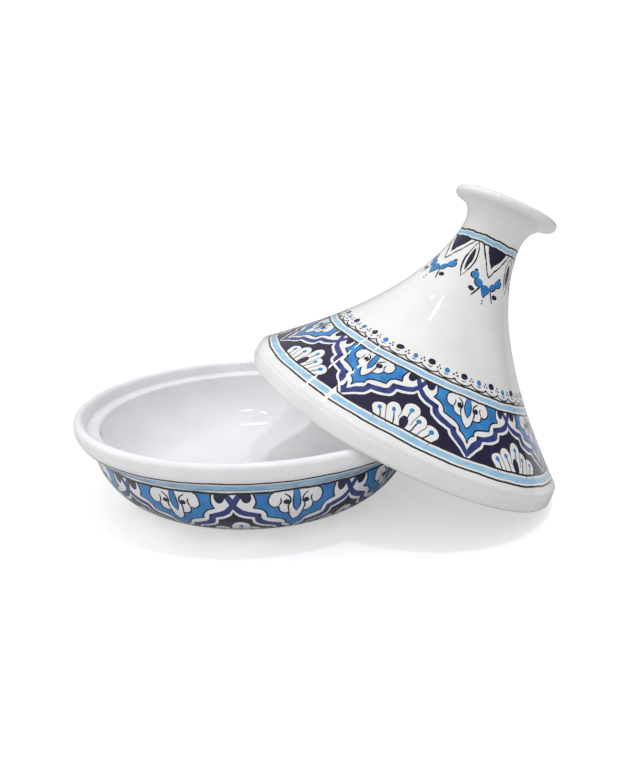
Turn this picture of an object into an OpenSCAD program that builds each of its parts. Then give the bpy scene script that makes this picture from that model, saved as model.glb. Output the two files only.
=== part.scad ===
// Tagine pot: a glazed serving dish with its conical lid leaning against it.
// The dish stands upright on its foot ring at the origin. The lid is off the
// dish: one side of its rim stands on the table, and the rim rests on the lip
// of the dish at two points, so its axis leans away from the dish along +X.

/* [Dish] */
// Diameter of the dish over its rim band
dish_d = 270; // [250:1:290]
// Height of the dish from the table to the top of the lip
dish_h = 68.5; // [66:0.5:76]
// Thickness of the standing lip
lip_t = 7.4; // [6:0.2:9]
// Depth of the ledge that carries the closed lid, below the top of the lip
ledge_drop = 11; // [8:0.5:13]
// Width of that ledge
ledge_w = 10; // [8:0.5:12]
// Height of the plain rim band on the outside
band_h = 12; // [9:0.5:14]
// Height at which the rounded wall would stand upright
belly_z = 56; // [54:0.5:58]
// Diameter of the rounded wall at that height
belly_d = 249; // [240:1:252]
// Angle down the wall's round at which it leaves the rim band
belly_start = 10; // [8:1:14]
// Thickness of the dish's floor
floor_t = 7; // [5:0.5:9]

/* [Foot ring] */
// Diameter over the foot ring
foot_d = 166; // [150:2:180]
// Width of the ring that touches the table
foot_w = 8; // [6:0.5:12]
// Height of the foot ring
foot_h = 4; // [3:0.5:6]

/* [Lid] */
// Diameter of the lid at the top of its rim face
lid_d = 244; // [238:1:246]
// Diameter of the lid at the bottom of its rim face
rim_d = 245; // [236:1:247]
// Height of the rim face
rim_h = 12; // [9:0.5:14]
// Radius of the rim's bottom corners
rim_round = 3; // [2:0.5:4]
// Width of the rim's seat
rim_w = 8; // [7:0.5:10]
// Height from the rim to the narrowest part of the neck
neck_h = 153; // [145:1:160]
// Diameter of the neck
neck_d = 43; // [38:0.5:46]
// Hollow sweep of the cone: 1 is straight, 2 is strongly hollow
cone_sweep = 1.7; // [1.4:0.05:2]
// Thickness of the cone's wall
lid_wall = 7; // [5:0.5:9]
// Height up the cone at which the hollow inside closes
hollow_h = 122; // [105:1:130]

/* [Knob] */
// Diameter of the knob
knob_d = 74; // [66:1:84]
// Height from the neck to the knob's rim
knob_flare_h = 15; // [13:0.5:20]
// Thickness of the knob's rounded rim
knob_rim_t = 6.5; // [5:0.5:8]
// Radius of the cup in the top of the knob
cup_r = 28; // [22:0.5:28]
// Depth of that cup
cup_depth = 11; // [8:0.5:14]

/* [Leaning pose] */
// Tilt of the lid's axis from upright
lean = 25.3; // [22:0.1:27]
// Distance from the dish's axis to the middle of the lid's rim
lean_reach = 112.3; // [111:0.1:120]

/* [Hidden] */

glaze = [0.93, 0.93, 0.95];
blue_glaze = [0.72, 0.78, 0.9];

arc_steps = 8;
curve_steps = 24;

dish_r = dish_d / 2;
foot_r = foot_d / 2;
lip_round = lip_t / 2;
ledge_z = dish_h - ledge_drop;
ledge_r = dish_r - lip_t;
bowl_r = ledge_r - ledge_w;
bowl_floor_z = foot_h + floor_t;
bowl_floor_r = foot_r - foot_w;
band_z = dish_h - band_h;
belly_r = belly_d / 2;
corner_round = 2;

// The rim band's face is upright down to here, and then curves in to the wall.
band_curve_z = band_z + 4;
wall_r = foot_r + (belly_r - foot_r) * cos(belly_start);
wall_z = belly_z - (belly_z - foot_h) * sin(belly_start);
band_curve_power = 1.6;

// The cone keeps its hollow sweep from the top of the rim face to the neck.
function cone_r(h) =
    neck_d / 2 + (lid_d - neck_d) / 2 * pow((neck_h - h) / (neck_h - rim_h), cone_sweep);

// How much the cone narrows for each millimetre of height.
function cone_slope(h) =
    cone_sweep * (lid_d - neck_d) / 2 / (neck_h - rim_h)
    * pow((neck_h - h) / (neck_h - rim_h), cone_sweep - 1);

// The point a wall's thickness inside the cone, square to its surface.
function hollow_point(h) =
    let (tilt = atan(cone_slope(h))) [cone_r(h) - lid_wall * cos(tilt), h - lid_wall * sin(tilt)];

// Points on an arc about [x, y], with separate radii for an elliptical arc.
function arc(x, y, rx, ry, from, to, steps = arc_steps) =
    [for (i = [0:steps]) let (a = from + (to - from) * i / steps) [x + rx * cos(a), y + ry * sin(a)]];

// Outside of the dish, from the top of the lip down to the foot ring.
function dish_outside() = concat(
    arc(dish_r - lip_round, dish_h - lip_round, lip_round, lip_round, 90, 0),
    [for (i = [0:arc_steps]) let (t = i / arc_steps)
        [dish_r - (dish_r - wall_r) * pow(t, band_curve_power),
         band_curve_z - (band_curve_z - wall_z) * t]],
    arc(foot_r, belly_z, belly_r - foot_r, belly_z - foot_h, -belly_start - 3, -87, curve_steps),
    arc(foot_r - corner_round, corner_round, corner_round, corner_round, 0, -90, 3)
);

// Underside of the dish, inside the foot ring.
function dish_underside() = concat(
    arc(bowl_floor_r + corner_round, corner_round, corner_round, corner_round, 270, 180, 3),
    [[bowl_floor_r - foot_h / 2, foot_h], [0, foot_h]]
);

// Inside of the dish, from the middle of its floor up to the top of the lip.
function dish_inside() = concat(
    [[0, bowl_floor_z]],
    arc(bowl_floor_r, ledge_z - corner_round, bowl_r - bowl_floor_r,
        ledge_z - corner_round - bowl_floor_z, -90, -3, curve_steps),
    arc(bowl_r + corner_round, ledge_z - corner_round, corner_round, corner_round, 180, 90, 3),
    arc(ledge_r - corner_round, ledge_z + corner_round, corner_round, corner_round, -90, 0, 3),
    arc(dish_r - lip_round, dish_h - lip_round, lip_round, lip_round, 180, 95)
);

// Outside of the lid, from the seat of its rim up to the neck.
function lid_outside() = concat(
    arc(rim_d / 2 - rim_round, rim_round, rim_round, rim_round, -90, 0, 4),
    arc(lid_d / 2 - rim_round, rim_h - rim_round, rim_round, rim_round, 0, 45, 4),
    [for (i = [1:curve_steps]) let (h = rim_h + (neck_h - rim_h) * i / curve_steps) [cone_r(h), h]]
);

// The knob flares out of the neck, turns over its rounded rim and dips into its cup.
function knob_outside() = concat(
    [for (i = [1:arc_steps]) let (a = 90 * i / arc_steps)
        [knob_d / 2 - knob_rim_t / 2 - (knob_d / 2 - knob_rim_t / 2 - neck_d / 2) * cos(a),
         neck_h + knob_flare_h * sin(a)]],
    arc(knob_d / 2 - knob_rim_t / 2, neck_h + knob_flare_h + knob_rim_t / 2,
        knob_rim_t / 2, knob_rim_t / 2, -60, 90),
    arc(0, neck_h + knob_flare_h + knob_rim_t, cup_r, cup_depth, 0, -90)
);

// Inside of the lid, from the domed top of the hollow down to the rim's seat.
function lid_inside() = let (top = hollow_point(hollow_h), mouth_h = rim_h + lid_wall) concat(
    arc(0, top[1], top[0], top[0] / 2, 90, 0, 6),
    [for (i = [1:curve_steps]) hollow_point(hollow_h - (hollow_h - mouth_h) * i / curve_steps)],
    arc(rim_d / 2 - rim_w + corner_round, corner_round, corner_round, corner_round, 180, 270, 3)
);

function lid_section() = concat(lid_outside(), knob_outside(), lid_inside());

// Height of the rim's centre that puts the rim's lowest point on the table.
lean_z = max([for (p = lid_section()) p[0] * sin(lean) - p[1] * cos(lean)]);

// Serving dish with its ledge, rim band and foot ring.
module dish() {
    color(blue_glaze)
        rotate_extrude($fn = 180)
            polygon(concat(dish_outside(), dish_underside(), dish_inside()));
}

// Conical lid with its neck and cupped knob, in one piece.
module lid() {
    color(glaze)
        translate([lean_reach, 0, lean_z])
            rotate([0, lean, 0])
                rotate_extrude($fn = 180)
                    polygon(lid_section());
}

dish();
lid();
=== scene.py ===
"""Glazed tagine pot: a painted serving dish with its conical lid leaning against it.

Both pieces are turned shapes. Each has one outline, and its bare glaze and its paint both come from
that outline, so the paint follows the glaze everywhere. The painting is drawn flat, one repeat of the
pattern at a time, cut into patches of one colour each, and then wrapped round the piece.
Lengths are in millimetres up to the point where a mesh is made.
"""

import math

import bpy
import numpy as np
from mathutils import Matrix, Vector
from mathutils.geometry import delaunay_2d_cdt


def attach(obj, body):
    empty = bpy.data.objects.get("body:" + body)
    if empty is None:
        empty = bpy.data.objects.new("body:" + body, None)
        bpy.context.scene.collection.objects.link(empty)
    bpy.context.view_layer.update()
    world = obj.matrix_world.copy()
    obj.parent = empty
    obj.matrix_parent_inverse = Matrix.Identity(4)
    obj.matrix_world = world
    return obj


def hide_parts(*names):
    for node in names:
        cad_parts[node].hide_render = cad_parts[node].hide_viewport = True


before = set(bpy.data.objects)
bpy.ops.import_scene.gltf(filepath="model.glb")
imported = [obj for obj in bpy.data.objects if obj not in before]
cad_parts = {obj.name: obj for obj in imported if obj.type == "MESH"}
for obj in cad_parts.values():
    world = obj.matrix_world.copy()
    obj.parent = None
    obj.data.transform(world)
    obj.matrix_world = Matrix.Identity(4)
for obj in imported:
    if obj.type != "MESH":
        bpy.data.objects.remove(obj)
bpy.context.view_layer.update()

MM = 0.001

# ---------------------------------------------------------------- sizes, as in the CAD part

DISH_R = 135
DISH_H = 68.5
LIP_T = 7.4
LEDGE_DROP = 11
LEDGE_W = 10
LEDGE_Z = DISH_H - LEDGE_DROP
LEDGE_R = DISH_R - LIP_T
BOWL_R = LEDGE_R - LEDGE_W
BELLY_Z = 56
BELLY_R = 124.5
BELLY_START = 10
BAND_FACE_H = 8
BAND_CURVE_Z = DISH_H - BAND_FACE_H
BAND_CURVE_POWER = 1.6
FOOT_R = 83
FOOT_W = 8
FOOT_INNER_R = FOOT_R - FOOT_W
FOOT_H = 4
FLOOR_T = 7
FLOOR_Z = FOOT_H + FLOOR_T
CORNER_R = 2

LID_R = 122
RIM_R = 122.5
RIM_H = 12
RIM_ROUND = 3
RIM_W = 8
NECK_H = 153
NECK_R = 21.5
CONE_SWEEP = 1.7
LID_WALL = 7
HOLLOW_H = 122
KNOB_R = 37
KNOB_FLARE_H = 15
KNOB_RIM_R = 3.25
CUP_R = 28
CUP_DEPTH = 11

LEAN = 25.3
LEAN_REACH = 112.3
LEAN_Z = 51.353

# The throwing rings show on this much of the dish's inside, from the middle of its floor outwards.
RINGED_LENGTH = 150

# ---------------------------------------------------------------- outlines


def arc(x, y, rx, ry, start, end, steps=40):
    """Points on an arc about (x, y), from one angle to another in degrees."""
    angles = np.radians(np.linspace(start, end, steps + 1))
    return [(x + rx * math.cos(a), y + ry * math.sin(a)) for a in angles]


def line(start, end, steps=60):
    """Points on a straight line."""
    (x0, y0), (x1, y1) = start, end
    return [(x0 + (x1 - x0) * t, y0 + (y1 - y0) * t) for t in np.linspace(0, 1, steps + 1)]


class Outline:
    """A turned piece's outline in (radius, height), measured by the length along it.

    It starts and ends on the axis, and the solid is on its left all the way, so the surface faces right.
    outside is the stretch of points that the paint is on, where the height only rises. The potter's
    throwing rings show on its last stretch, which is ringed long.
    """

    def __init__(self, points, outside, ringed=0):
        points = np.array(points, float)
        steps = np.hypot(*np.diff(points, axis=0).T)
        keep = np.append(True, steps > 1e-6)
        self.r, self.z = points[keep].T
        self.s = np.append(0, np.cumsum(np.hypot(np.diff(self.r), np.diff(self.z))))
        first, last = outside
        self.outside = slice(int(keep[:first].sum()), int(keep[:last].sum()))
        self.ringed_from = self.s[-1] - ringed

    def length_at(self, z):
        """The length along the outline where its outside reaches a height."""
        return float(np.interp(z, self.z[self.outside], self.s[self.outside]))

    def at(self, s):
        """Radius and height at a length along the outline."""
        return np.interp(s, self.s, self.r), np.interp(s, self.s, self.z)

    def facing(self, s):
        """The surface's direction there, as its (radius, height) part."""
        step = 0.3
        r0, z0 = self.at(s - step)
        r1, z1 = self.at(s + step)
        length = np.hypot(r1 - r0, z1 - z0)
        return (z1 - z0) / length, (r0 - r1) / length

    def stations(self, longest, turn):
        """Lengths to put rings of vertices at: close together where the outline turns."""
        heading = np.unwrap(np.arctan2(np.diff(self.z), np.diff(self.r)))
        kept = [0]
        for i in range(1, len(self.s) - 1):
            far = self.s[i] - self.s[kept[-1]] >= longest
            turned = abs(heading[i] - heading[kept[-1]]) >= turn
            if far or turned:
                kept.append(i)
        return self.s[kept + [len(self.s) - 1]]


def dish_outline():
    """The dish, from the middle of its underside, up the outside, over the lip and down to its floor."""
    lip = LIP_T / 2
    lip_steps = 60
    wall_r = FOOT_R + (BELLY_R - FOOT_R) * math.cos(math.radians(BELLY_START))
    wall_z = BELLY_Z - (BELLY_Z - FOOT_H) * math.sin(math.radians(BELLY_START))
    under = line((0, FOOT_H), (FOOT_INNER_R - CORNER_R, FOOT_H))
    foot = arc(FOOT_INNER_R + CORNER_R, CORNER_R, CORNER_R, CORNER_R, 180, 270, 8)
    foot += arc(FOOT_R - CORNER_R, CORNER_R, CORNER_R, CORNER_R, -90, 0, 8)
    belly = arc(FOOT_R, BELLY_Z, BELLY_R - FOOT_R, BELLY_Z - FOOT_H, -87, -BELLY_START, 200)
    band = [
        (DISH_R - (DISH_R - wall_r) * (1 - t) ** BAND_CURVE_POWER, wall_z + (BAND_CURVE_Z - wall_z) * t)
        for t in np.linspace(0, 1, 60)
    ]
    over = arc(DISH_R - lip, DISH_H - lip, lip, lip, 0, 180, lip_steps)
    ledge = arc(LEDGE_R - CORNER_R, LEDGE_Z + CORNER_R, CORNER_R, CORNER_R, 0, -90, 12)
    ledge += arc(BOWL_R + CORNER_R, LEDGE_Z - CORNER_R, CORNER_R, CORNER_R, 90, 180, 12)
    depth = LEDGE_Z - CORNER_R - FLOOR_Z
    bowl = arc(FOOT_INNER_R, LEDGE_Z - CORNER_R, BOWL_R - FOOT_INNER_R, depth, -3, -90, 160)
    floor = line((FOOT_INNER_R, FLOOR_Z), (0, FLOOR_Z), 120)
    before = under + foot
    outside = (len(before), len(before) + len(belly + band + over) - lip_steps // 2)
    return Outline(before + belly + band + over + ledge + bowl + floor, outside, RINGED_LENGTH)


def cone_r(h):
    """Radius of the lid's outside at a height above its rim."""
    return NECK_R + (LID_R - NECK_R) * ((NECK_H - h) / (NECK_H - RIM_H)) ** CONE_SWEEP


def hollow_point(h):
    """The point a wall's thickness inside the cone, square to its surface."""
    up = (NECK_H - h) / (NECK_H - RIM_H)
    tilt = math.atan(CONE_SWEEP * (LID_R - NECK_R) / (NECK_H - RIM_H) * up ** (CONE_SWEEP - 1))
    return cone_r(h) - LID_WALL * math.cos(tilt), h - LID_WALL * math.sin(tilt)


def lid_outline():
    """The lid, from the top of its hollow, down and round the rim, up the cone and into the knob's cup."""
    top_r, top_z = hollow_point(HOLLOW_H)
    hollow = arc(0, top_z, top_r, top_r / 2, 90, 0)
    hollow += [hollow_point(h) for h in np.linspace(HOLLOW_H, RIM_H + LID_WALL, 160)]
    rim = arc(RIM_R - RIM_W + CORNER_R, CORNER_R, CORNER_R, CORNER_R, 180, 270, 12)
    rim += arc(RIM_R - RIM_ROUND, RIM_ROUND, RIM_ROUND, RIM_ROUND, -90, 0, 16)
    shoulder = arc(LID_R - RIM_ROUND, RIM_H - RIM_ROUND, RIM_ROUND, RIM_ROUND, 0, 45, 10)
    cone_foot = RIM_H + 0.6
    cone = [(cone_r(h), h) for h in np.linspace(cone_foot, NECK_H, 300)]
    edge_r = KNOB_R - KNOB_RIM_R
    flare = arc(edge_r, NECK_H, edge_r - NECK_R, KNOB_FLARE_H, 180, 90, 60)
    edge = arc(edge_r, NECK_H + KNOB_FLARE_H + KNOB_RIM_R, KNOB_RIM_R, KNOB_RIM_R, -60, 90, 30)
    cup = arc(0, NECK_H + KNOB_FLARE_H + 2 * KNOB_RIM_R, CUP_R, CUP_DEPTH, 0, -90, 80)
    before = hollow + rim
    outside = (len(before), len(before) + len(shoulder + cone) - 1)
    return Outline(before + shoulder + cone + flare + edge + cup, outside)


# ---------------------------------------------------------------- surfaces

# Slow waves that keep a turned piece from being perfectly round: height in mm, waves round the
# piece, millimetres of outline per wave, and where each wave starts.
SWELL = (
    (0.10, 2, 900, 0.4),
    (0.08, 3, -210, 1.9),
    (0.05, 5, 74, 4.0),
    (0.012, 0, 17, 2.2),
    (0.005, 0, 9.5, 0.7),
)
# The throwing rings' distance from one to the next, and how far they stand off, in mm.
RING_SPAN = 11.0
RING_HEIGHT = 0.045


def swell(theta, s):
    """How far the slow waves stand off the outline."""
    off = 0
    for high, waves, span, start in SWELL:
        off = off + high * np.sin(waves * theta + 2 * np.pi * s / span + start)
    return off


def rings(outline, s):
    """The throwing rings that the potter's fingers left inside, as height off the outline."""
    along = s - outline.ringed_from
    return RING_HEIGHT * np.sin(2 * np.pi * along / RING_SPAN) * np.clip(along / RING_SPAN, 0, 1)


def surface(outline, theta, s, lift=0.0):
    """Points on a turned piece, lifted off its surface, in metres. Its middle stays smooth."""
    smooth_r = 10
    r, z = outline.at(s)
    out_r, out_z = outline.facing(s)
    off = lift + (swell(theta, s) + rings(outline, s)) * np.minimum(1, r / smooth_r)
    r = r + out_r * off
    return np.stack([r * np.cos(theta), r * np.sin(theta), z + out_z * off], -1) * MM


def surface_normals(outline, theta, s):
    """Unit normals of the same surface."""
    step = 0.2
    r, _ = outline.at(s)
    turn = step / np.maximum(r, 1)
    across = surface(outline, theta + turn, s) - surface(outline, theta - turn, s)
    along = surface(outline, theta, s + step) - surface(outline, theta, s - step)
    normals = np.cross(across, along)
    return normals / np.linalg.norm(normals, axis=1, keepdims=True)


def new_object(name, mesh, materials, pose=None):
    """Links a mesh, moved to its pose, into the scene with its materials."""
    if pose is not None:
        mesh.transform(pose)
    obj = bpy.data.objects.new(name, mesh)
    bpy.context.scene.collection.objects.link(obj)
    for material in materials:
        mesh.materials.append(material)
    return obj


def turned_faces(loops, segments):
    """The faces between loops of vertices, closed at both ends by a fan round a middle vertex."""
    first = loops * segments
    faces = []
    for j in range(loops - 1):
        here, there = j * segments, (j + 1) * segments
        for i in range(segments):
            i1 = (i + 1) % segments
            faces.append((here + i, here + i1, there + i1, there + i))
    top = first - segments
    for i in range(segments):
        i1 = (i + 1) % segments
        faces.append((first, i1, i))
        faces.append((top + i, top + i1, first + 1))
    return faces


def turned_piece(name, outline, materials, pose=None, bare=None, segments=360):
    """A whole turned piece. Faces whose outline length is in the bare stretch get the second material."""
    stations = outline.stations(longest=1.5, turn=math.radians(9))
    theta = np.linspace(0, 2 * np.pi, segments, endpoint=False)
    loops = [surface(outline, theta, np.full(segments, s)) for s in stations[1:-1]]
    ends = [surface(outline, np.zeros(1), np.array([s])) * (0, 0, 1) for s in stations[[0, -1]]]
    verts = np.concatenate(loops + ends)
    faces = turned_faces(len(loops), segments)

    mesh = bpy.data.meshes.new(name)
    mesh.from_pydata(verts.tolist(), [], faces)
    mesh.shade_smooth()
    obj = new_object(name, mesh, materials, pose)
    if bare:
        slots = np.zeros(len(faces), int)
        for j, s in enumerate(stations[1:-2]):
            if bare[0] <= s <= bare[1]:
                slots[j * segments : (j + 1) * segments] = 1
        mesh.polygons.foreach_set("material_index", slots)
    return obj


# ---------------------------------------------------------------- drawing

# Everything here is drawn flat: x across the repeat and y down from the top of the pattern.


def spline(points, span=0.9):
    """A smooth line through points, in steps of about a span. A point with a third value is a corner."""
    runs = [[]]
    for i, p in enumerate(points):
        runs[-1].append(np.array(p[:2], float))
        if len(p) > 2 and 0 < i < len(points) - 1:
            runs.append([runs[-1][-1]])
    smooth = [runs[0][0]]
    for run in runs:
        ends = [2 * run[0] - run[1]] + run + [2 * run[-1] - run[-2]]
        for p0, p1, p2, p3 in zip(ends, ends[1:], ends[2:], ends[3:]):
            count = max(2, math.ceil(np.linalg.norm(p2 - p1) / span))
            for t in np.arange(1, count + 1) / count:
                bend = (3 * (p1 - p2) + p3 - p0) * t**3 + (2 * p0 - 5 * p1 + 4 * p2 - p3) * t**2
                smooth.append(p1 + 0.5 * (bend + (p2 - p0) * t))
    return np.array(smooth)


def stroke(points, width, ends=(0.35, 0.35)):
    """The outline of a brush stroke along a smooth line. ends say how thin it starts and finishes."""
    path = spline(points, span=0.7)
    ahead = np.gradient(path, axis=0)
    side = np.stack([-ahead[:, 1], ahead[:, 0]], -1)
    side /= np.maximum(np.linalg.norm(side, axis=1, keepdims=True), 1e-9)
    t = np.linspace(0, 1, len(path))
    fade = np.minimum(np.interp(t, (0, 0.25), (ends[0], 1)), np.interp(t, (0.75, 1), (1, ends[1])))
    half = side * (width / 2 * fade)[:, None]
    return np.concatenate([path + half, (path - half)[::-1]])


def oval(x, y, rx, ry, turn=0.0, steps=18):
    """An oval dot of the brush, turned by some degrees."""
    angles = np.linspace(0, 2 * np.pi, steps, endpoint=False)
    flat = np.stack([rx * np.cos(angles), ry * np.sin(angles)], -1)
    c, s = math.cos(math.radians(turn)), math.sin(math.radians(turn))
    return flat @ np.array([[c, s], [-s, c]]) + (x, y)


def bar(half, y0, y1):
    """A line painted all the way round, from y0 down to y1."""
    return np.array([(-half, y0), (half, y0), (half, y1), (-half, y1)], float)


def mirrored(points):
    """The same points on the other side of the repeat's middle, in the same order."""
    return [(-p[0], *p[1:]) for p in points]


def petal(base, angle, length, width):
    """A round-ended petal that grows from its base, angle degrees from straight up."""
    along = ((0, 0), (0.02, 0.38), (0.35, 0.44), (0.70, 0.50), (0.90, 0.37), (0.98, 0.18), (1.0, 0))
    right = [(w * width, -t * length) for t, w in along]
    left = [(-x, y) for x, y in right[-2:0:-1]]
    outline = spline(right + left + [right[0]])
    c, s = math.cos(math.radians(angle)), math.sin(math.radians(angle))
    return outline @ np.array([[c, s], [-s, c]]) + base


def striped_border(half, y0, y1, black=1.3, white=1.35):
    """The band that edges each frieze: a sky-blue stripe in white, between two black lines."""
    return [
        ("black", bar(half, y0, y0 + black)),
        ("sky", bar(half, y0 + black + white, y1 - black - white)),
        ("black", bar(half, y1 - black, y1)),
    ]


# The scalloped lines of a medallion's right side, from the bottom tip up, with x in half repeats and
# y in heights of the frieze. They part the azure field, its white edge, the blue band that crosses
# into the next repeat, a second white edge and the navy ground.
FIELD_EDGE = (
    (0.0, 0.77), (0.03, 0.69), (0.085, 0.63), (0.14, 0.60, 1), (0.15, 0.54), (0.21, 0.48),
    (0.33, 0.44), (0.46, 0.41, 1), (0.485, 0.32), (0.56, 0.25), (0.69, 0.212, 1),
    (0.655, 0.14), (0.655, 0.07), (0.68, 0.0),
)
BAND_INNER = (
    (0.0, 0.87), (0.075, 0.75), (0.185, 0.655), (0.205, 0.575, 1), (0.37, 0.53), (0.53, 0.455),
    (0.57, 0.33, 1), (0.76, 0.275), (0.875, 0.225), (0.945, 0.16), (0.985, 0.09), (1.05, 0.0),
)
BAND_OUTER = (
    (0.0, 1.0), (0.11, 0.87), (0.26, 0.74), (0.31, 0.64, 1), (0.47, 0.60), (0.625, 0.525),
    (0.67, 0.395, 1), (0.80, 0.365), (0.925, 0.305), (1.0, 0.225), (1.075, 0.12), (1.15, 0.0),
)
GROUND_EDGE = (
    (0.045, 1.0), (0.155, 0.88), (0.295, 0.765), (0.345, 0.675, 1), (0.50, 0.64), (0.665, 0.555),
    (0.708, 0.435, 1), (0.82, 0.41), (0.94, 0.35), (1.0, 0.275),
)
# A navy blob in the field's upper corner, and the white palmette in its middle, drawn the same way.
CORNER_BLOB = (
    (0.72, 0.0), (0.722, 0.06), (0.755, 0.115), (0.81, 0.128), (0.855, 0.10), (0.88, 0.055), (0.93, 0.0),
)
PALMETTE_EDGE = (
    (0.0, 0.52), (0.06, 0.465), (0.10, 0.40), (0.115, 0.345, 1), (0.19, 0.345), (0.265, 0.305),
    (0.29, 0.225, 1), (0.36, 0.235), (0.44, 0.18), (0.455, 0.09), (0.42, 0.02), (0.37, 0.0),
)


class Repeat:
    """One repeat of the main frieze: half its width, its height, and where its top is."""

    def __init__(self, half, high, top):
        self.half = half
        self.high = high
        self.top = top

    def sized(self, points):
        """Points given in half repeats across and frieze heights down, in mm."""
        return [(p[0] * self.half, self.top + p[1] * self.high, *p[2:]) for p in points]

    def smooth(self, points):
        """A smooth line through such points."""
        return spline(self.sized(points))

    def whole(self, points):
        """The closed outline of a shape that is the same on both sides, from its right side."""
        right = self.smooth(points)
        return np.concatenate([right, (right * (-1, 1))[::-1]])

    def drawn_round(self, points, width, ends):
        """The black line round such a shape."""
        right = self.sized(points)
        return [("black", stroke(edge, width, ends)) for edge in (right, mirrored(right))]


def frieze(half, high, top):
    """One repeat of the main frieze: a medallion in the middle, and half a flower arch at each side."""
    repeat = Repeat(half, high, top)
    shapes = ground(repeat)
    for centre in (-1, 1):
        shapes += flower(centre * half, top + high, high)
    shapes += crossing_bands(repeat)
    shapes += corner_marks(repeat)
    shapes.append(("azure", repeat.whole(FIELD_EDGE)))
    shapes += repeat.drawn_round(FIELD_EDGE, 1.1, ends=(0.6, 1))
    shapes.append(("white", repeat.whole(PALMETTE_EDGE)))
    shapes += repeat.drawn_round(PALMETTE_EDGE, 1.0, ends=(0.8, 1))
    for side in (1, -1):
        shapes += [(colour, outline * (side, 1)) for colour, outline in palmette_side(repeat)]
    shapes += palmette_leaf(repeat)
    return shapes


def ground(repeat):
    """The navy ground under the medallion's two sides."""
    edge = repeat.smooth(GROUND_EDGE)
    corner = np.array([p[:2] for p in repeat.sized(((1.0, 0.265), (1.0, 1.0), (0.06, 1.0)))])
    right = np.concatenate([edge, corner])
    return [("navy", right * (side, 1)) for side in (1, -1)]


def crossing_bands(repeat):
    """The blue bands round the medallion, and those of the repeats beside it that cross into this one."""
    band = np.concatenate([repeat.smooth(BAND_INNER), repeat.smooth(BAND_OUTER)[::-1]])
    shapes = []
    for shift in (-2, 0, 2):
        for side in (1, -1):
            shapes.append(("blue", band * (side, 1) + (shift * repeat.half, 0)))
    return shapes


def corner_marks(repeat):
    """The small navy dots on the medallion's white edge, and the blobs in its upper corners."""
    dots = repeat.sized(((0.225, 0.60), (0.59, 0.355)))
    shapes = []
    for side in (1, -1):
        shapes += [("navy", oval(side * x, y, 0.9, 1.5, side * 20)) for x, y in dots]
        shapes.append(("navy", repeat.smooth(CORNER_BLOB) * (side, 1)))
    return shapes


def palmette_side(repeat):
    """The eye and the folds on the right side of a palmette."""
    fold = repeat.sized(((0.265, 0.09), (0.255, 0.15), (0.29, 0.225)))
    brow = repeat.sized(((0.20, 0.035), (0.125, 0.09), (0.10, 0.16), (0.135, 0.23), (0.115, 0.345)))
    (eye,) = repeat.sized(((0.165, 0.165),))
    return [
        ("black", stroke(fold, 0.95)),
        ("black", stroke(brow, 1.05, ends=(0.7, 0.6))),
        ("navy", oval(*eye, 1.95, 1.9)),
    ]


def palmette_leaf(repeat):
    """The azure leaf down the middle of a palmette."""
    right = ((0.01, 0.34), (0.05, 0.26), (0.062, 0.16), (0.045, 0.0))
    left = ((-0.05, 0.0), (-0.062, 0.14), (-0.045, 0.25), (0.01, 0.34))
    return [
        ("azure", repeat.smooth(right + left)),
        ("black", stroke(repeat.sized(right), 0.85)),
        ("black", stroke(repeat.sized(left), 0.85)),
    ]


# A flower's petals, in the order they are painted: where each one grows from, across and up, its
# angle from upright, its length and its width, for a frieze that is FLOWER_HIGH high.
FLOWER_HIGH = 38
PETALS = (
    (-12.0, -1.2, -23, 11.0, 8.6),
    (11.4, -1.2, 29, 11.8, 8.8),
    (-4.9, -1.0, -15, 15.4, 8.6),
    (4.6, -1.0, 17, 14.6, 8.6),
    (0.3, 4.0, 9, 15.0, 9.0),
)


def flower(x, y, high):
    """The half flower that sits on the frieze's lower line: five white petals round a navy seed."""
    size = high / FLOWER_HIGH
    shapes = []
    for across, up, angle, length, width in PETALS:
        base = np.array((x + across * size, y - up * size))
        turn = math.radians(angle)
        reach = np.array((math.sin(turn), -math.cos(turn))) * length * size
        dot = base + 0.68 * reach
        stem = (dot, base + 0.35 * reach + (0.3, 0), base)
        shapes += [
            ("black", petal(base, angle, length * size + 0.4, width * size + 0.9)),
            ("white", petal(base, angle, length * size, width * size)),
            ("black", stroke(stem, 0.75, ends=(0.9, 0.8))),
            ("azure", oval(*dot, 1.35 * size, 1.55 * size, angle)),
        ]
    shapes.append(("navy", oval(x, y - 3.9 * size, 2.5 * size, 4.5 * size)))
    return shapes


def festoon(half, base):
    """One repeat of the small border above the lid's frieze: two scallops with a dot in each."""
    shapes = []
    for centre, colour, up, rx, ry in ((-0.5, "navy", 7.0, 2.5, 2.3), (0.5, "azure", 6.2, 1.8, 1.95)):
        x = centre * half
        turns = np.radians(np.linspace(-86, 86, 9))
        scallop = [(x + half / 2 * math.sin(a), base - 3.5 + 3.0 * math.cos(a)) for a in turns]
        shapes.append(("black", stroke(scallop, 0.95, ends=(0.9, 0.9))))
        smile = ((x - 1.6, base - 3.7), (x, base - 3.1), (x + 1.6, base - 3.7))
        shapes.append(("black", stroke(smile, 0.7)))
        shapes.append((colour, oval(x, base - up, rx, ry)))
    for edge in (-1, 0, 1):
        for dx, up in ((0, 7.2), (-1.15, 5.4), (1.1, 5.3)):
            shapes.append(("black", oval(edge * half + dx, base - up, 0.62, 0.75, steps=10)))
    return shapes


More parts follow.
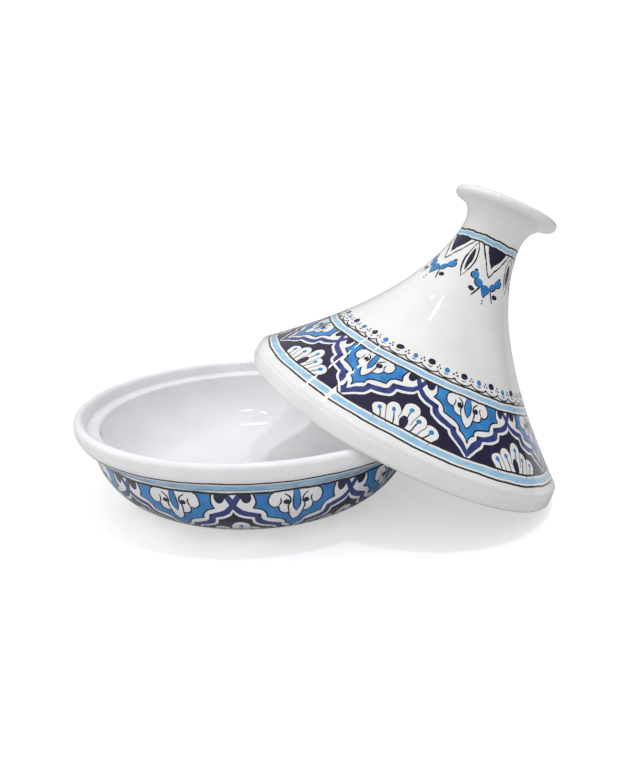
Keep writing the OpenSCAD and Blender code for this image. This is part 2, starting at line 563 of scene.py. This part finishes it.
def garland(half, top):
    """One repeat of the neck's pattern: a hanging V over a string of beads, and half a leaf each side."""
    wedge = ((-8.7, 0), (-4.1, 7.4), (0, 13.4, 1), (4.1, 7.4), (8.7, 0))
    vee = ((-12.0, -0.2), (-5.6, 10.2), (0, 19.6, 1), (5.6, 10.2), (12.0, -0.2))
    shapes = [("navy", spline(wedge) + (0, top))]
    for arm in (vee[:3], vee[2:]):
        shapes.append(("black", stroke([p[:2] for p in arm], 0.95, ends=(1, 0.8)) + (0, top)))
    for side in (-1, 1):
        shapes += neck_leaf(side * half, top)
    for side in (-1, 1):
        shapes += beads(side, top)
    drop_side = ((0, 34.2, 1), (-2.1, 30.0), (-2.2, 26.8), (0, 25.0))
    drop = spline([*drop_side, *mirrored(drop_side)[::-1][1:]])
    shapes.append(("black", (drop - (0, 29)) * (1.2, 1.06) + (0, 29.3 + top)))
    shapes.append(("azure", drop + (0, top)))
    for y in (36.8, 39.0):
        shapes.append(("black", oval(0, top + y, 0.45, 0.75, steps=10)))
    return shapes


def neck_leaf(x, top):
    """An almond leaf with a navy heart, hanging from the neck's lower black line."""
    side = ((0, -0.3), (3.2, 5.5), (4.3, 12.5), (2.8, 20.5), (0, 26.8, 1))
    middle = (0, 13.2)
    edge = spline([*side, *mirrored(side)[::-1][1:]])
    heart = (edge - middle) * (0.47, 0.62) + middle
    white = (edge - middle) * (0.78, 0.93) + middle
    return [("black", edge + (x, top)), ("white", white + (x, top)), ("navy", heart + (x, top))]


def beads(side, top):
    """Half of the string of azure beads, from the drop in the middle out to the leaf."""
    shapes = [("black", oval(side * 8.6, top + 18.0, 1.2, 0.95, -side * 35))]
    turn = side * 25
    for x, y, rx, ry in ((8.1, 21.3, 2.25, 2.9), (4.4, 25.4, 2.1, 2.8)):
        shapes.append(("black", oval(side * (x + 0.3), top + y + 0.4, rx + 0.35, ry + 0.3, turn)))
        shapes.append(("azure", oval(side * x, top + y, rx, ry, turn)))
    sprig = ((side * 3.6, top + 28.6), (side * 4.6, top + 32.2), (side * 6.1, top + 36.6))
    shapes.append(("black", stroke(sprig, 0.85, ends=(0.9, 0.5))))
    shapes.append(("navy", oval(side * 7.2, top + 31.6, 1.9, 1.7)))
    return shapes


# ---------------------------------------------------------------- cutting the drawing into patches


def inside(outline, points):
    """Which points lie inside a closed outline."""
    x, y = points.T
    hit = np.zeros(len(points), bool)
    for (x0, y0), (x1, y1) in zip(outline, np.roll(outline, -1, axis=0)):
        if y0 != y1:
            crosses = (y0 > y) != (y1 > y)
            hit ^= crosses & (x < x0 + (y - y0) * (x1 - x0) / (y1 - y0))
    return hit


def reaches(outline, half):
    """Whether an outline reaches into the repeat at all."""
    return outline[:, 0].max() > -half and outline[:, 0].min() < half


def divided(outline, longest=1.2):
    """A closed outline with points added along its long edges."""
    points = []
    for start, end in zip(outline, np.roll(outline, -1, axis=0)):
        count = max(1, math.ceil(np.linalg.norm(end - start) / longest))
        points += [start + (end - start) * i / count for i in range(count)]
    return np.array(points)


def cut_repeat(shapes, half, y0, y1, spacing=1.5):
    """Cuts one repeat of the drawing into triangles and says which colour shows on each.

    Points spacing apart fill the patches, so that their triangles can follow the piece's curve.
    """
    shapes = [(colour, divided(outline)) for colour, outline in shapes if reaches(outline, half)]
    closest = 0.45 * spacing
    points, edges = [], []
    for outline in [divided(bar(half, y0, y1))] + [outline for _, outline in shapes]:
        first = len(points)
        points += outline.tolist()
        count = len(outline)
        edges += [(first + i, first + (i + 1) % count) for i in range(count)]

    across = np.linspace(-half, half, round(2 * half / spacing) + 1)
    down = np.linspace(y0, y1, round((y1 - y0) / spacing) + 1)
    drawn = np.array(points)
    for y in down:
        for x in across:
            if np.hypot(*(drawn - (x, y)).T).min() > closest:
                points.append((x, y))

    flat, _, faces, *_ = delaunay_2d_cdt([Vector(p) for p in points], edges, [], 0, 1e-4)
    flat = np.array([tuple(p) for p in flat])
    faces = np.array([f for f in faces if len(f) == 3])
    middles = flat[faces].mean(axis=1)
    colours = np.full(len(faces), "white", object)
    for colour, outline in shapes:
        colours[inside(outline, middles)] = colour
    framed = (np.abs(middles[:, 0]) < half) & (middles[:, 1] > y0) & (middles[:, 1] < y1)
    colours[~framed] = "white"
    return flat, faces, colours


# A painter's hand is never quite steady: waves of movement in mm, waves round the piece and
# millimetres of height per wave, then the two starting angles across and along.
UNSTEADY = (
    (0.45, 3, 160, 0.3, 2.0),
    (0.35, 11, 60, 1.3, 4.1),
    (0.22, 26, 31, 5.1, 0.6),
    (0.10, 61, 13, 2.6, 3.3),
    (0.06, 127, 7, 0.9, 5.5),
)


def unsteady(theta, s):
    """The hand's movement round and along the piece."""
    across = sum(m * np.sin(k * theta + 2 * np.pi * s / span + a) for m, k, span, a, _ in UNSTEADY)
    along = sum(0.7 * m * np.cos(k * theta - 2 * np.pi * s / span + b) for m, k, span, _, b in UNSTEADY)
    return across, along


def wrap(cut, repeats, half, phase, outline, s_top):
    """Wraps copies of a cut repeat round a piece. Gives (theta, s) of every point, and the faces."""
    flat, faces, colours = cut
    step = 2 * math.pi / repeats
    places = []
    for k in range(repeats):
        theta = math.radians(phase) + step * (k + flat[:, 0] / (2 * half))
        places.append(np.stack([theta, s_top - flat[:, 1]], -1))
    theta, s = np.concatenate(places).T
    across, along = unsteady(theta, s)
    r, _ = outline.at(s)
    places = np.stack([theta + across / r, s + along], -1)
    offsets = np.repeat(np.arange(repeats) * len(flat), len(faces))
    return places, np.tile(faces, (repeats, 1)) + offsets[:, None], np.tile(colours, repeats)


# The paint stands this far off the glaze, and its underside goes this far in.
PAINT_LIFT = 0.04
PAINT_DEPTH = 0.08


def joined(points, faces):
    """Makes points that share a place into one. Gives the kept points and the faces between them."""
    _, first, same = np.unique(np.round(points / MM, 3), axis=0, return_index=True, return_inverse=True)
    faces = same.reshape(-1)[faces]
    a, b, c = faces.T
    faces = faces[(a != b) & (b != c) & (c != a)]
    used, faces_used = np.unique(faces, return_inverse=True)
    return first[used], faces_used.reshape(-1, 3)


def border_edges(faces):
    """The edges that only one triangle has."""
    edges = dict.fromkeys(edge for a, b, c in faces.tolist() for edge in ((a, b), (b, c), (c, a)))
    return [(a, b) for a, b in edges if (b, a) not in edges]


def paint_mesh(name, outline, places, faces):
    """A thin closed skin on the piece for all patches of one colour."""
    theta, s = places.T
    top = surface(outline, theta, s, PAINT_LIFT)
    kept, faces = joined(top, faces[:, ::-1])
    theta, s, top = theta[kept], s[kept], top[kept]
    under = surface(outline, theta, s, -PAINT_DEPTH)
    count = len(top)
    walls = [(b, a, a + count, b + count) for a, b in border_edges(faces)]
    bottoms = (faces[:, ::-1] + count).tolist()

    mesh = bpy.data.meshes.new(name)
    mesh.from_pydata(np.concatenate([top, under]).tolist(), [], faces.tolist() + bottoms + walls)
    mesh.shade_smooth()
    normals = surface_normals(outline, theta, s)
    wall_normals = [face.normal[:] for face in mesh.polygons[2 * len(faces) :]]
    sides = np.repeat(wall_normals, 4, axis=0).reshape(-1, 3)
    loops = np.concatenate([normals[faces.reshape(-1)], -normals[faces[:, ::-1].reshape(-1)], sides])
    mesh.normals_split_custom_set(loops.tolist())
    return mesh


def paint(body, outline, patterns, materials, pose=None):
    """All painted pieces of one body: one for each colour. The patterns come from wrap."""
    pieces = []
    for colour, material in materials.items():
        places, faces, start = [], [], 0
        for at, triangles, colours in patterns:
            places.append(at)
            faces.append(triangles[colours == colour] + start)
            start += len(at)
        name = f"{body}_paint_{colour}"
        mesh = paint_mesh(name, outline, np.concatenate(places), np.concatenate(faces))
        pieces.append(new_object(name, mesh, [material], pose))
    return pieces


# ---------------------------------------------------------------- the two pieces' patterns

# For each pattern: how many repeats go round, the radius at which they are drawn at their true width,
# and where the middle of the first one is, in degrees round the piece.
DISH_FRIEZE = (10, 114, -71.6)
LID_FRIEZE = (8, 96, -79.2)
SCALLOPS = (20, 73.5, -96.8)
GARLAND = (5, 25.5, -81.5)

# Heights of the painted lines on the dish: its striped border's two edges, and the frieze's lower edge.
DISH_LINES = (56.7, 45.0, 6.2)
# Heights above the lid's rim: the lower border's two edges, the upper border's two, the top of the
# scallops, and the neck border's two.
LID_LINES = (16.4, 22.2, 49.0, 54.9, 64.0, 142.0, 148.4)
# How far down the cone the garland's drawing goes, from the neck border.
GARLAND_LENGTH = 40

# The drawing goes this far past its outermost lines, so that their edges are cut inside it.
PAST_EDGE = 0.01


def half_width(repeats, drawn_r):
    """Half the width of one repeat, as it is drawn."""
    return math.pi / repeats * drawn_r


def dish_patterns(outline):
    """The frieze on the dish's rounded wall, under its striped border."""
    top, line_s, low = (outline.length_at(z) for z in DISH_LINES)
    last_line = 1.0
    repeats, drawn_r, phase = DISH_FRIEZE
    half = half_width(repeats, drawn_r)
    border = top - line_s
    high = line_s - low
    end = border + high
    shapes = frieze(half, high, border) + striped_border(half, 0, border, black=1.6)
    shapes.append(("black", bar(half, end, end + last_line)))
    cut = cut_repeat(shapes, half, -PAST_EDGE, end + last_line + PAST_EDGE)
    return [wrap(cut, repeats, half, phase, outline, top)]


def lid_frieze(outline, low, low_top, high, high_top):
    """The lid's frieze between its two striped borders."""
    repeats, drawn_r, phase = LID_FRIEZE
    half = half_width(repeats, drawn_r)
    shapes = frieze(half, high - low_top, high_top - high)
    for upper, lower in ((high_top, high), (low_top, low)):
        shapes += striped_border(half, high_top - upper, high_top - lower)
    cut = cut_repeat(shapes, half, -PAST_EDGE, high_top - low + PAST_EDGE)
    return wrap(cut, repeats, half, phase, outline, high_top)


def lid_scallops(outline, base, top):
    """The small scallops and dots that stand on the lid's upper border."""
    repeats, drawn_r, phase = SCALLOPS
    half = half_width(repeats, drawn_r)
    top_gap = 0.5
    border_gap = 0.02
    cut = cut_repeat(festoon(half, top - base), half, top_gap, top - base - border_gap)
    return wrap(cut, repeats, half, phase, outline, top)


def neck_garland(outline, low, top):
    """The garland that hangs from the border round the neck."""
    repeats, drawn_r, phase = GARLAND
    half = half_width(repeats, drawn_r)
    shapes = garland(half, top - low) + striped_border(half, 0, top - low, black=1.2, white=0.8)
    cut = cut_repeat(shapes, half, -PAST_EDGE, top - low + GARLAND_LENGTH, spacing=1.2)
    return wrap(cut, repeats, half, phase, outline, top)


def lid_patterns(outline):
    """The lid's frieze, the small scallops above it, and the garland at the neck."""
    low, low_top, high, high_top, scallop_top, neck_low, neck_top = map(outline.length_at, LID_LINES)
    return [
        lid_frieze(outline, low, low_top, high, high_top),
        lid_scallops(outline, high_top, scallop_top),
        neck_garland(outline, neck_low, neck_top),
    ]


# ---------------------------------------------------------------- materials


def linear(r, g, b):
    """A colour given in the 0 to 255 steps of a screen, as light."""
    return tuple((c / 255) ** 2.2 for c in (r, g, b)) + (1,)


def node(tree, kind, **inputs):
    """A shader node with some of its inputs set by name. Underscores stand for spaces."""
    made = tree.nodes.new(kind)
    for name, value in inputs.items():
        made.inputs[name.replace("_", " ")].default_value = value
    return made


def noise(tree, coords, scale, detail=2.0, stretch=(1, 1, 1)):
    """A noise texture's output. scale is in blobs per metre."""
    mapping = node(tree, "ShaderNodeMapping", Scale=stretch)
    tree.links.new(coords, mapping.inputs["Vector"])
    texture = node(tree, "ShaderNodeTexNoise", Scale=scale, Detail=detail)
    tree.links.new(mapping.outputs["Vector"], texture.inputs["Vector"])
    return texture.outputs["Fac"]


# The places on a noise's 0 to 1 where the dark shade ends and where the light one starts.
DARK_TO = 0.3
LIGHT_FROM = 0.7


def mottled(tree, fac, dark, light):
    """A colour that goes from one shade to another with a noise, both in a screen's 0 to 255 steps."""
    made = node(tree, "ShaderNodeValToRGB")
    first, last = made.color_ramp.elements
    first.position, first.color = DARK_TO, linear(*dark)
    last.position, last.color = LIGHT_FROM, linear(*light)
    tree.links.new(fac, made.inputs["Fac"])
    return made.outputs["Color"]


def rippled(tree, height, strength, depth):
    """A bump's normal from a noise."""
    relief = node(tree, "ShaderNodeBump", Strength=strength, Distance=depth)
    tree.links.new(height, relief.inputs["Height"])
    return relief.outputs["Normal"]


def new_material(name):
    """A material with nodes: itself, its node tree, its shader and its object coordinates."""
    material = bpy.data.materials.new(name)
    material.use_nodes = True
    tree = material.node_tree
    coords = node(tree, "ShaderNodeTexCoord").outputs["Object"]
    return material, tree, tree.nodes["Principled BSDF"], coords


def glazed(name, dark, light, pattern_scale, stretch=(1, 1, 1), bump=0.008):
    """A colour under clear glaze: it varies between two shades, under one glossy, faintly rippled coat."""
    material, tree, shader, coords = new_material(name)
    shader.inputs["Roughness"].default_value = 0.3
    shader.inputs["Specular IOR Level"].default_value = 0.05
    shader.inputs["Coat Weight"].default_value = 1.0
    shader.inputs["Coat Roughness"].default_value = 0.035
    shader.inputs["Coat IOR"].default_value = 1.5
    colour = mottled(tree, noise(tree, coords, pattern_scale, 4.0, stretch), dark, light)
    tree.links.new(colour, shader.inputs["Base Color"])
    normal = rippled(tree, noise(tree, coords, 90.0, 3.0), strength=bump, depth=0.002)
    for socket in ("Normal", "Coat Normal"):
        tree.links.new(normal, shader.inputs[socket])
    return material


# The brush's colours: where each is darkest and lightest, how many patches it has to a metre, and how
# they are stretched.
PAINTS = {
    "navy": ((26, 24, 48), (40, 37, 72), 160, (1, 1, 0.4)),
    "blue": ((38, 50, 104), (60, 76, 140), 180, (1, 1, 0.4)),
    "azure": ((38, 112, 184), (62, 146, 214), 140, (1, 1, 0.4)),
    "sky": ((140, 190, 226), (170, 212, 240), 110, (1, 1, 4)),
    "black": ((24, 24, 28), (44, 44, 48), 200, (1, 1, 1)),
}


def paint_materials():
    """The colours of the brush, each thin in some places and thick in others."""
    return {colour: glazed(f"{colour}_paint", *shades) for colour, shades in PAINTS.items()}


def white_glaze(name, dark, light):
    """The pot's own glaze, which is a little thinner in places."""
    return glazed(name, dark, light, 30, bump=0.01)


def bare_clay():
    """The unglazed clay of the foot ring."""
    material, tree, shader, coords = new_material("bare_clay")
    shader.inputs["Roughness"].default_value = 0.85
    colour = mottled(tree, noise(tree, coords, 300.0, 6.0), (196, 170, 140), (224, 202, 174))
    tree.links.new(colour, shader.inputs["Base Color"])
    grain = rippled(tree, noise(tree, coords, 1500.0, 3.0), strength=0.3, depth=0.0005)
    tree.links.new(grain, shader.inputs["Normal"])
    return material


# ---------------------------------------------------------------- the pot

# The foot ring's bare clay goes up to this height on the outside, and this far in from the place
# where the outside leaves the table.
BARE_TO_H = 1.0
BARE_W = 12
LEAVES_TABLE_H = 0.1


def build_pot():
    """The dish and the lid, each in place of its CAD node, with their paint."""
    # The dish and the lid have one and the same glaze. The dish's copy is painted light: brighter and cooler,
    # as where cool light falls on it. The lid's copy is painted shade: darker.
    dish_white_painted_brighter = white_glaze("dish_glaze", (241, 240, 245), (249, 248, 251))
    lid_white_painted_darker = white_glaze("lid_glaze", (234, 234, 235), (243, 243, 243))
    clay, colours = bare_clay(), paint_materials()
    tilt = Matrix.Rotation(math.radians(LEAN), 4, "Y")
    lean = Matrix.Translation(Vector((LEAN_REACH, 0, LEAN_Z)) * MM) @ tilt

    outline = dish_outline()
    foot = (outline.length_at(LEAVES_TABLE_H) - BARE_W, outline.length_at(BARE_TO_H))
    dish = turned_piece("dish_body", outline, [dish_white_painted_brighter, clay], bare=foot)
    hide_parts("dish")
    dish_pieces = [dish] + paint("dish", outline, dish_patterns(outline), colours)

    outline = lid_outline()
    lid = turned_piece("lid_body", outline, [lid_white_painted_darker], lean)
    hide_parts("lid")
    lid_pieces = [lid] + paint("lid", outline, lid_patterns(outline), colours, lean)

    for body, pieces in (("dish", dish_pieces), ("lid", lid_pieces)):
        for piece in pieces:
            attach(piece, body)


# ---------------------------------------------------------------- floor, light and camera

# The floor's brightness to the camera and to all other light, and the glow that only the camera sees.
FLOOR_COLOUR = 0.91
FLOOR_BOUNCE = 0.65
FLOOR_GLOW = 0.45
# Half the floor's side, in metres.
FLOOR_REACH = 40.0

# The room's light on the pot: its middle brightness, and how much brighter it gets along X, Y and Z.
ROOM_LIGHT = 0.55
ROOM_SLOPE = (-0.37, -0.10, 0.35)
# The part of it that shows as a reflection in the glaze.
ROOM_SHINE = 0.65
# The brightness of the room behind the pot, as the camera sees it.
ROOM_SEEN = 1.05
ROOM_TINT = (1.0, 0.997, 0.965, 1)

LAMP_TINT = (0.985, 0.965, 1.05)
# The place that all lamps point at, in metres.
LAMP_AIM = (0.1, -0.03, 0.08)


def switched(tree, ray, off, on):
    """A node whose value is on for the named kind of ray and off for all others."""
    made = node(tree, "ShaderNodeMapRange", To_Min=off, To_Max=on)
    sight = node(tree, "ShaderNodeLightPath")
    tree.links.new(sight.outputs[ray], made.inputs["Value"])
    return made


def build_floor():
    """A wide pale floor. A little glow that only the camera sees keeps its shadows light."""
    material = bpy.data.materials.new("pale_floor")
    material.use_nodes = True
    tree = material.node_tree
    shader = tree.nodes["Principled BSDF"]
    shader.inputs["Roughness"].default_value = 1.0
    shader.inputs["Specular IOR Level"].default_value = 0.0
    shader.inputs["Emission Color"].default_value = (1, 1, 1, 1)
    colour = switched(tree, "Is Camera Ray", FLOOR_BOUNCE, FLOOR_COLOUR)
    glow = switched(tree, "Is Camera Ray", 0.0, FLOOR_GLOW)
    for value, socket in ((colour, "Base Color"), (glow, "Emission Strength")):
        tree.links.new(value.outputs["Result"], shader.inputs[socket])
    mesh = bpy.data.meshes.new("floor")
    corners = [(x * FLOOR_REACH, y * FLOOR_REACH, 0) for x, y in ((-1, -1), (1, -1), (1, 1), (-1, 1))]
    mesh.from_pydata(corners, [], [(0, 1, 2, 3)])
    new_object("floor", mesh, [material])


def aimed(at, target):
    """A lamp's turn, which points it from one place to another."""
    return (Vector(target) - Vector(at)).to_track_quat("-Z", "Y").to_euler()


def add_softbox(name, at, size, power, turn=0.0, shine=False):
    """A rectangular studio light, in metres and watts. It only shows in the glaze, or it only gives light."""
    lamp = bpy.data.lights.new(name, "AREA")
    lamp.shape = "RECTANGLE"
    lamp.size, lamp.size_y = size
    lamp.energy = power
    lamp.color = LAMP_TINT
    obj = bpy.data.objects.new(name, lamp)
    obj.location = at
    obj.rotation_euler = aimed(at, LAMP_AIM)
    obj.rotation_euler.rotate_axis("Z", math.radians(turn))
    obj.visible_glossy = shine
    obj.visible_diffuse = not shine
    bpy.context.scene.collection.objects.link(obj)


def combined(tree, operation, first, second):
    """A sum or product of a socket with a number or another socket."""
    made = node(tree, "ShaderNodeMath")
    made.operation = operation
    tree.links.new(first, made.inputs[0])
    if isinstance(second, float):
        made.inputs[1].default_value = second
    else:
        tree.links.new(second, made.inputs[1])
    return made.outputs["Value"]


def build_room():
    """An even white room to look at. It lights the pot most from above, the left and the front."""
    world = bpy.data.worlds.new("studio")
    world.use_nodes = True
    tree = world.node_tree
    background = tree.nodes["Background"]
    background.inputs["Color"].default_value = ROOM_TINT
    slope = node(tree, "ShaderNodeVectorMath")
    slope.operation = "DOT_PRODUCT"
    slope.inputs[1].default_value = ROOM_SLOPE
    tree.links.new(node(tree, "ShaderNodeTexCoord").outputs["Generated"], slope.inputs[0])
    light = combined(tree, "ADD", slope.outputs["Value"], ROOM_LIGHT)
    mirrored_room = switched(tree, "Is Glossy Ray", 1.0, ROOM_SHINE)
    shown = combined(tree, "MULTIPLY", light, mirrored_room.outputs["Result"])
    strength = switched(tree, "Is Camera Ray", 0.0, ROOM_SEEN)
    tree.links.new(shown, strength.inputs["To Min"])
    tree.links.new(strength.outputs["Result"], background.inputs["Strength"])
    bpy.context.scene.world = world


def build_light():
    """The room, two lamps overhead that light the pot, and five that only show as glints in the glaze."""
    build_room()
    add_softbox("overhead_front", (0.155, -0.43, 1.37), (0.05, 0.05), 2.5)
    add_softbox("overhead_back", (0.0, 0.18, 1.38), (0.05, 0.05), 3.6)
    add_softbox("front_shine", (0.16, -0.345, 1.37), (0.045, 0.14), 1.6, turn=-61, shine=True)
    add_softbox("back_shine", (0.03, 0.145, 1.37), (0.025, 0.04), 0.12, turn=34, shine=True)
    add_softbox("far_shine", (-0.145, 0.41, 1.37), (0.012, 0.03), 0.035, turn=34, shine=True)
    add_softbox("dish_wall_shine", (-0.077, -0.155, 1.37), (0.09, 0.02), 0.25, shine=True)
    add_softbox("dish_floor_shine", (-0.086, 0.662, 1.37), (0.13, 0.03), 0.5, shine=True)


# Where the camera stands, in mm, and its turn to the side, tilt down and roll, in degrees.
CAMERA_AT = (57.214, -426.892, 195.958)
CAMERA_TURN = (-3.89, 14.25, -1.49)


def build_camera():
    """The camera, at the photograph's place and angle."""
    camera = bpy.data.cameras.new("camera")
    camera.sensor_width = 36
    camera.lens = 26.21
    camera.shift_x = 0.034
    camera.shift_y = -0.0187
    camera.clip_start = 0.01
    camera.clip_end = 200
    obj = bpy.data.objects.new("camera", camera)
    yaw, pitch, roll = (math.radians(a) for a in CAMERA_TURN)
    place = Matrix.Translation(Vector(CAMERA_AT) * MM)
    upright = Matrix.Rotation(-yaw, 4, "Z") @ Matrix.Rotation(math.pi / 2 - pitch, 4, "X")
    obj.matrix_world = place @ upright @ Matrix.Rotation(roll, 4, "Z")
    bpy.context.scene.collection.objects.link(obj)
    bpy.context.scene.camera = obj


bpy.context.scene.view_settings.view_transform = "Standard"
build_camera()
build_light()
build_floor()
build_pot()
